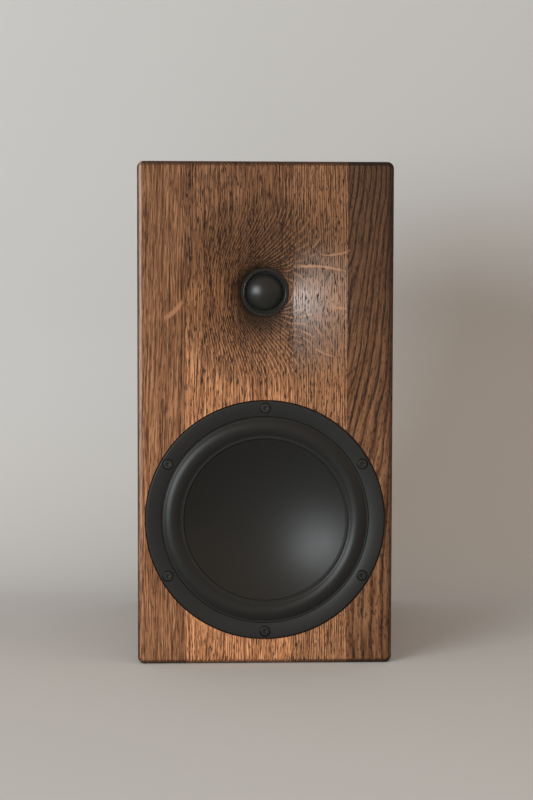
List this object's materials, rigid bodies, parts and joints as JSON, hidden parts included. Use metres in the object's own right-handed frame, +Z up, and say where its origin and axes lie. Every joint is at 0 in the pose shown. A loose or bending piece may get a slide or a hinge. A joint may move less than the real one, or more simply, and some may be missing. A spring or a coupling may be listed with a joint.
{
  "type": "bookshelf loudspeaker",
  "caption": "Two-way bookshelf loudspeaker in dark oak: dome tweeter in a horn carved into the baffle, flush black dished-cone woofer, rear bass port and recessed terminals.",
  "frame": {"origin": "under the middle of the base, halfway from the woofer surround's crest to the cabinet's back edge", "axes": "+Z up, the front baffle faces -Y, +X is to the right seen from the front"},
  "size_m": [0.19, 0.2814, 0.374],
  "materials": {
    "oak": "satin",
    "plywood": "satin",
    "felt": "matte",
    "black_casting": "satin",
    "tweeter_black": "satin",
    "cone_black": "satin",
    "roll_rubber": "satin",
    "dome_cloth": "satin",
    "gasket_foam": "matte",
    "spider_cloth": "matte",
    "coil_former": "satin",
    "copper_wire": "satin",
    "zinc_steel": "satin",
    "black_screws": "satin",
    "ferrite": "matte",
    "black_moulding": "satin",
    "red_plastic": "gloss",
    "black_plastic": "gloss",
    "gold_plate": "polished",
    "capacitor_film": "gloss",
    "cement": "matte",
    "lead_sleeve": "satin"
  },
  "bodies": {
    "cabinet": {"front_baffle": "oak", "left_side_panel": "oak", "right_side_panel": "oak", "top_panel": "oak", "bottom_panel": "oak", "rear_panel": "oak", "window_brace": "plywood", "crossover_board": "plywood", "damping_felt": "felt", "woofer_basket": "black_casting", "tweeter_housing": "tweeter_black", "woofer_surround": "roll_rubber", "tweeter_surround": "roll_rubber", "woofer_gasket": "gasket_foam", "woofer_spider": "spider_cloth", "woofer_choke": "copper_wire", "tweeter_choke": "copper_wire", "woofer_top_plate": "zinc_steel", "woofer_back_plate": "zinc_steel", "tweeter_front_plate": "zinc_steel", "tweeter_yoke": "zinc_steel", "red_post_nut": "zinc_steel", "black_post_nut": "zinc_steel", "tweeter_screw_1": "zinc_steel", "tweeter_screw_2": "zinc_steel", "tweeter_screw_3": "zinc_steel", "woofer_screw_1": "black_screws", "woofer_screw_2": "black_screws", "woofer_screw_3": "black_screws", "woofer_screw_4": "black_screws", "woofer_screw_5": "black_screws", "woofer_screw_6": "black_screws", "terminal_screw_1": "black_screws", "terminal_screw_2": "black_screws", "terminal_screw_3": "black_screws", "terminal_screw_4": "black_screws", "woofer_magnet": "ferrite", "tweeter_magnet": "ferrite", "bass_port": "black_moulding", "terminal_cup": "black_moulding", "woofer_tag_strip": "black_moulding", "red_post_collar": "red_plastic", "black_post_collar": "black_plastic", "red_post_shaft": "gold_plate", "black_post_shaft": "gold_plate", "tweeter_capacitor": "capacitor_film", "tweeter_resistor": "cement", "input_lead": "lead_sleeve", "woofer_lead": "lead_sleeve", "tweeter_lead": "lead_sleeve"},
    "woofer_moving": {"woofer_cone": "cone_black", "voice_coil_former": "coil_former", "voice_coil_winding": "copper_wire"},
    "tweeter_moving": {"tweeter_dome": "dome_cloth", "tweeter_voice_coil": "copper_wire"},
    "red_washer": {"red_post_washer": "gold_plate"},
    "red_knob": {"red_post_knob": "red_plastic"},
    "black_washer": {"black_post_washer": "gold_plate"},
    "black_knob": {"black_post_knob": "black_plastic"}
  },
  "joints": [
    {"name": "woofer_stroke", "type": "slide", "parent": "cabinet", "child": "woofer_moving", "axis": [0, -1, 0], "range_m": [-0.005, 0.005], "stiffness_N_per_m": 1000, "deforming": ["woofer_surround", "woofer_spider"]},
    {"name": "tweeter_stroke", "type": "slide", "parent": "cabinet", "child": "tweeter_moving", "axis": [0, -1, 0], "range_m": [-0.0004, 0.0004], "stiffness_N_per_m": 600, "deforming": ["tweeter_surround"]},
    {"name": "red_washer_travel", "type": "slide", "parent": "cabinet", "child": "red_washer", "axis": [0, 1, 0], "range_m": [0, 0.004]},
    {"name": "red_knob_turn", "type": "hinge", "parent": "red_washer", "child": "red_knob", "pos_m": [0.00953, 0.1307, 0.108], "axis": [0, 1, 0], "range_deg": [0, 1440]},
    {"name": "black_washer_travel", "type": "slide", "parent": "cabinet", "child": "black_washer", "axis": [0, 1, 0], "range_m": [0, 0.004]},
    {"name": "black_knob_turn", "type": "hinge", "parent": "black_washer", "child": "black_knob", "pos_m": [-0.00953, 0.1307, 0.108], "axis": [0, 1, 0], "range_deg": [0, 1440]}
  ],
  "couplings": [
    {"joint": "red_knob_turn", "follows": "red_washer_travel", "rad_per_m": 6283.2},
    {"joint": "black_knob_turn", "follows": "black_washer_travel", "rad_per_m": 6283.2}
  ]
}
